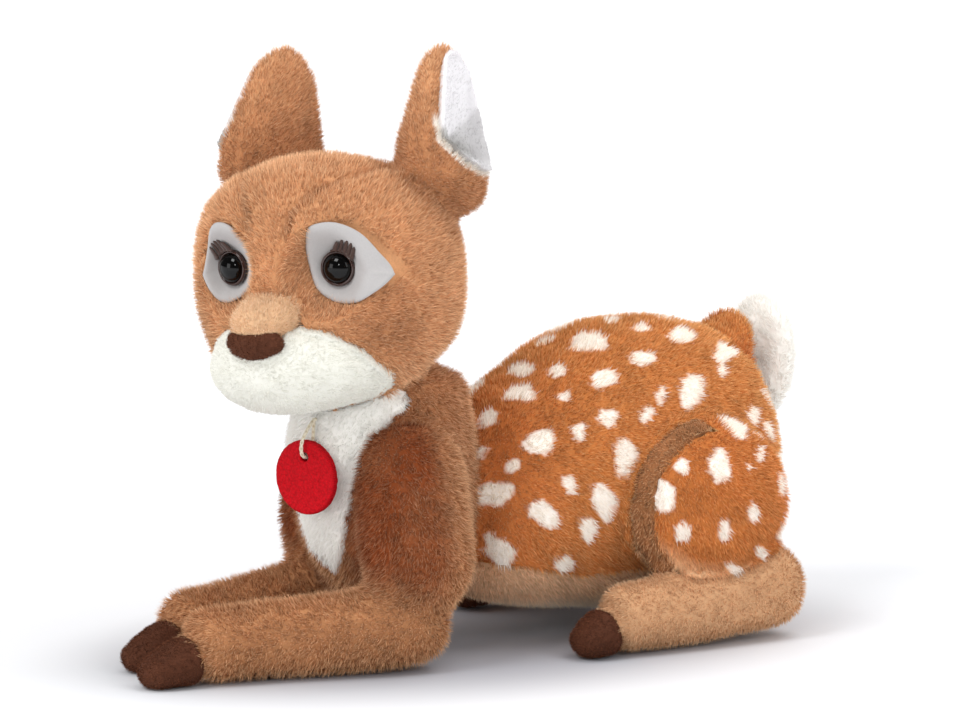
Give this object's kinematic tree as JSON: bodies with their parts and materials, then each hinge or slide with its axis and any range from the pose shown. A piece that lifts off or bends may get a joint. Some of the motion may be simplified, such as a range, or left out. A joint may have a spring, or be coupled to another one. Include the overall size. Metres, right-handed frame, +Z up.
{
  "type": "plush fawn toy",
  "caption": "Stuffed lying fawn with a turned head, cupped ears, a raised tail, felt eye patches, wedge-shaped hooves and a blank round tag on a cord.",
  "frame": {"origin": "under the middle of the toy, on the surface that it lies on", "axes": "+Z up, the toy faces -Y, its left side is towards +X"},
  "size_m": [0.1604, 0.3316, 0.2559],
  "materials": {
    "spotted_plush": "short soft pile, orange brown with printed white spots",
    "tan_plush": "short soft pile with pale tips",
    "brown_plush": "short soft pile, darker at the shoulder",
    "white_plush": "short white pile",
    "white_felt": "smooth felt",
    "brown_velour": "very short velour",
    "tan_velour": "very short velour",
    "stuffing": "fibre filling",
    "eye_gloss": "polished black dome",
    "washer_plastic": "moulded, matte",
    "lash_film": "thin cut felt, dark brown",
    "tag_red": "satin stitch embroidery with an overlocked edge",
    "cord_cream": "braided cotton cord"
  },
  "bodies": {
    "root": {"torso_back": "spotted_plush", "torso_belly": "tan_plush", "rump_patch": "white_plush", "torso_stuffing": "stuffing", "neck_skin": "brown_plush", "chest_bib": "white_plush", "neck_stuffing": "stuffing", "foreleg_left": "brown_plush", "foreleg_stuffing_left": "stuffing", "fore_hoof_left": "brown_velour", "haunch_left": "spotted_plush", "haunch_band_left": "tan_plush", "haunch_stuffing_left": "stuffing", "hind_foot_left": "tan_plush", "hind_foot_stuffing_left": "stuffing", "hind_hoof_left": "brown_velour", "foreleg_right": "brown_plush", "foreleg_stuffing_right": "stuffing", "fore_hoof_right": "brown_velour", "haunch_right": "spotted_plush", "haunch_band_right": "tan_plush", "haunch_stuffing_right": "stuffing", "hind_foot_right": "tan_plush", "hind_foot_stuffing_right": "stuffing", "hind_hoof_right": "brown_velour", "head_skin": "tan_plush", "head_stuffing": "stuffing", "muzzle": "white_plush", "nose_bridge": "tan_velour", "nose": "brown_velour", "eye_patch_left": "white_felt", "eye_left": "eye_gloss", "eye_washer_left": "washer_plastic", "eyelashes_left": "lash_film", "eye_patch_right": "white_felt", "eye_right": "eye_gloss", "eye_washer_right": "washer_plastic", "eyelashes_right": "lash_film"},
    "ear_left": {"ear_left": "tan_plush", "ear_lining_left": "white_plush"},
    "ear_right": {"ear_right": "tan_plush", "ear_lining_right": "white_plush"},
    "tail": {"tail_top": "tan_plush", "tail_underside": "white_plush"},
    "tag_cord": {"tag_cord": "cord_cream"},
    "tag_disc": {"tag_disc": "tag_red"}
  },
  "joints": [
    {"name": "ear_flex_left", "type": "hinge", "parent": "root", "child": "ear_left", "pos_m": [0.02669, -0.02815, 0.19797], "axis": [-0.4942, 0.8038, -0.3312], "range_deg": [-10, 10], "stiffness_Nm_per_rad": 0.03},
    {"name": "ear_flex_right", "type": "hinge", "parent": "root", "child": "ear_right", "pos_m": [-0.04961, -0.06702, 0.19198], "axis": [-0.3194, 0.8929, -0.3175], "range_deg": [-10, 10], "stiffness_Nm_per_rad": 0.03},
    {"name": "tail_flex", "type": "hinge", "parent": "root", "child": "tail", "pos_m": [0, 0.13734, 0.1032], "axis": [1, 0, 0], "range_deg": [-10, 10], "stiffness_Nm_per_rad": 0.03},
    {"name": "tag_cord_swing", "type": "hinge", "parent": "root", "child": "tag_cord", "pos_m": [0.0113, -0.07918, 0.1034], "axis": [-0.9455, -0.3256, 0], "range_deg": [0, 20]},
    {"name": "tag_tilt", "type": "hinge", "parent": "tag_cord", "child": "tag_disc", "pos_m": [0.012, -0.08368, 0.08803], "axis": [-0.9455, -0.3256, 0], "range_deg": [0, 4]}
  ]
}
